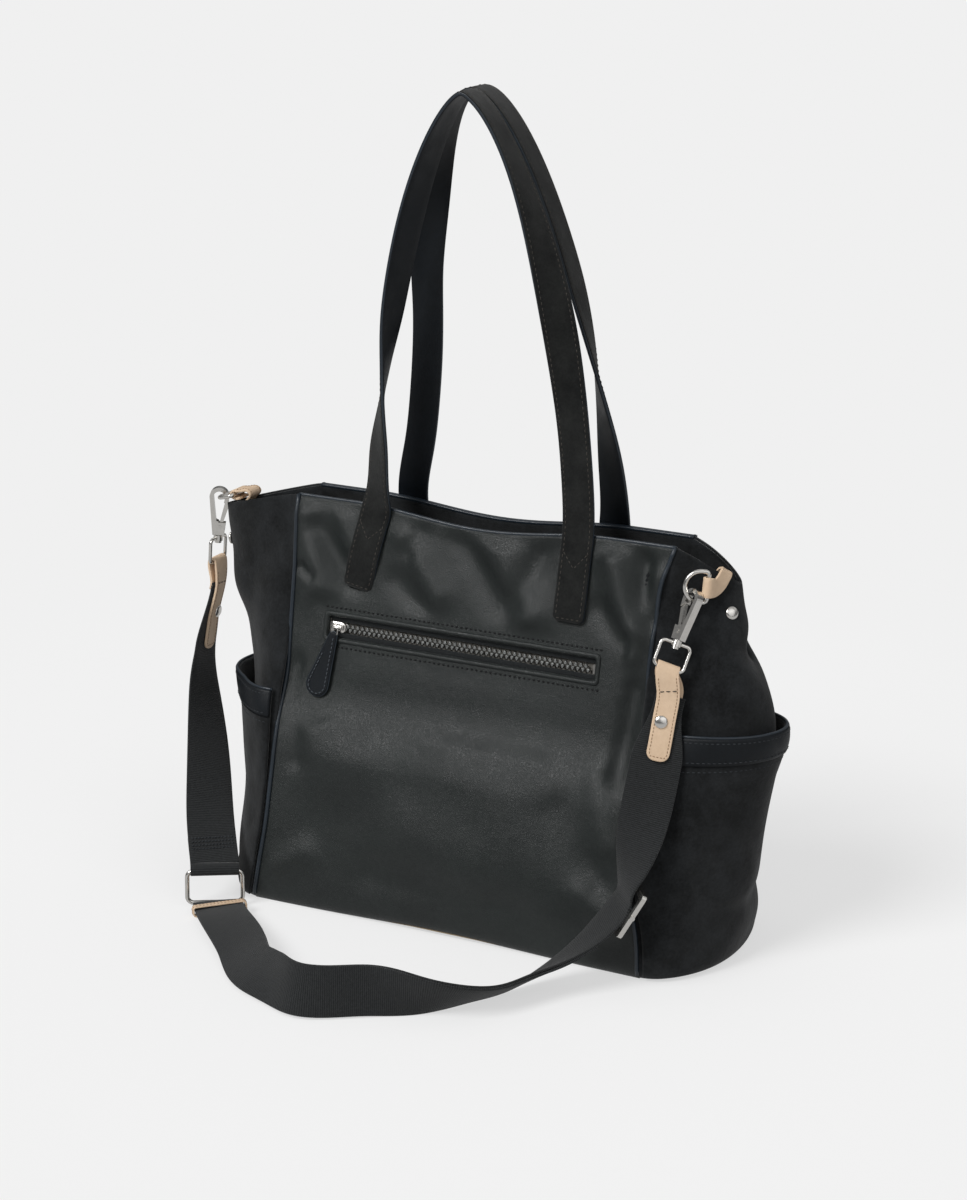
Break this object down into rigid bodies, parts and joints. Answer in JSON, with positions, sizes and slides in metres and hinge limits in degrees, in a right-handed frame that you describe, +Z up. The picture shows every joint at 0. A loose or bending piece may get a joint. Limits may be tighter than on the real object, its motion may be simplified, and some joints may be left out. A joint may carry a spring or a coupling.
{
  "type": "diaper bag",
  "caption": "Tote-style diaper bag with leather panels, suede side gussets and pockets, a front zip pocket, shoulder handles and a clip-on webbing strap.",
  "frame": {"origin": "centre of the base on the floor", "axes": "+X along the bag to the right as seen from the zip side, -Y out of the zip side, +Z up"},
  "size_m": [0.4974, 0.3432, 0.6392],
  "materials": {
    "black_leather": "smooth, soft sheen",
    "black_suede": "suede nap, matt",
    "edge_paint": "satin edge paint",
    "board": "matt board",
    "lining_cloth": "plain weave",
    "zip_tape": "woven tape",
    "zip_metal": "dark nickel",
    "tan_leather": "natural, matt",
    "webbing": "ribbed weave",
    "nickel": "polished nickel"
  },
  "bodies": {
    "bag": {"front_panel": "black_leather", "back_panel": "black_leather", "left_gusset": "black_suede", "right_gusset": "black_suede", "base_panel": "black_leather", "base_board": "board", "lining": "lining_cloth", "rim_facing": "black_suede", "front_piping": "edge_paint", "back_piping": "edge_paint", "rim_binding": "edge_paint", "left_pocket": "black_suede", "right_pocket": "black_suede", "left_pocket_band": "black_leather", "right_pocket_band": "black_leather", "zip_welt": "black_leather", "zip_tapes": "zip_tape", "zip_teeth_upper": "zip_metal", "zip_teeth_lower": "zip_metal", "zip_stops": "nickel", "zip_pocket_bag": "lining_cloth", "front_handle_feet": "black_suede", "front_handle_feet_backing": "black_leather", "back_handle_feet": "black_suede", "back_handle_feet_backing": "black_leather", "left_ring_tab": "tan_leather", "right_ring_tab": "tan_leather", "ring_tab_rivets": "nickel", "left_clip_loop": "nickel", "right_clip_loop": "nickel", "left_strap_tab": "tan_leather", "right_strap_tab": "tan_leather", "strap_tab_rivets": "nickel", "strap_end_bars": "nickel", "strap_short": "webbing", "strap_ring": "nickel", "strap_long": "webbing", "strap_return": "webbing", "slider_frame": "nickel", "slider_bar": "nickel"},
    "front_handle": {"front_handle_suede": "black_suede", "front_handle_backing": "black_leather"},
    "back_handle": {"back_handle_suede": "black_suede", "back_handle_backing": "black_leather"},
    "zip_slider": {"zip_slider": "nickel"},
    "zip_pull": {"zip_pull_link": "nickel", "zip_pull_tab": "black_leather"},
    "left_ring": {"left_d_ring": "nickel"},
    "right_ring": {"right_d_ring": "nickel"},
    "left_hook": {"left_clip_hook": "nickel", "left_clip_pin": "nickel", "left_clip_spring": "nickel"},
    "left_gate": {"left_clip_gate": "nickel"},
    "right_hook": {"right_clip_hook": "nickel", "right_clip_pin": "nickel", "right_clip_spring": "nickel"},
    "right_gate": {"right_clip_gate": "nickel"},
    "keeper": {"strap_keeper": "tan_leather"}
  },
  "joints": [
    {"name": "front_handle_fold", "type": "hinge", "parent": "bag", "child": "front_handle", "pos_m": [0, -0.0234, 0.3175], "axis": [1, 0, 0], "range_deg": [0, 120]},
    {"name": "back_handle_fold", "type": "hinge", "parent": "bag", "child": "back_handle", "pos_m": [0, 0.0234, 0.3175], "axis": [-1, 0, 0], "range_deg": [0, 120]},
    {"name": "zip_slide", "type": "slide", "parent": "bag", "child": "zip_slider", "axis": [1, 0, 0], "range_m": [0, 0.2097]},
    {"name": "zip_pull_swing", "type": "hinge", "parent": "zip_slider", "child": "zip_pull", "pos_m": [-0.113, -0.04136, 0.22113], "axis": [-1, 0, 0], "range_deg": [0, 150]},
    {"name": "left_ring_swing", "type": "hinge", "parent": "bag", "child": "left_ring", "pos_m": [-0.2241, 0.001, 0.3051], "axis": [0, 1, 0], "range_deg": [0, 5]},
    {"name": "right_ring_swing", "type": "hinge", "parent": "bag", "child": "right_ring", "pos_m": [0.18518, -0.02074, 0.29119], "axis": [0.0343, 0.1196, 0.9922], "range_deg": [0, 8]},
    {"name": "left_clip_swivel", "type": "hinge", "parent": "bag", "child": "left_hook", "pos_m": [-0.2429, -0.0012, 0.2661], "axis": [0.052, 0, 0.9986], "range_deg": [-30, 0]},
    {"name": "right_clip_swivel", "type": "hinge", "parent": "bag", "child": "right_hook", "pos_m": [0.17085, -0.04191, 0.25218], "axis": [0.1679, 0.4139, 0.8947], "range_deg": [-40, 0]},
    {"name": "left_gate_snap", "type": "hinge", "parent": "left_hook", "child": "left_gate", "pos_m": [-0.24135, -0.00067, 0.27503], "axis": [0.4378, -0.8988, -0.0228], "range_deg": [0, 19], "stiffness_Nm_per_rad": 0.02, "springref_deg": -17.19},
    {"name": "right_gate_snap", "type": "hinge", "parent": "right_hook", "child": "right_gate", "pos_m": [0.1713, -0.03762, 0.26017], "axis": [0.439, 0.7813, -0.4438], "range_deg": [0, 19], "stiffness_Nm_per_rad": 0.02, "springref_deg": -17.19},
    {"name": "keeper_slide", "type": "slide", "parent": "bag", "child": "keeper", "axis": [0.6306, -0.7658, 0.1261], "range_m": [0, 0.008]}
  ]
}
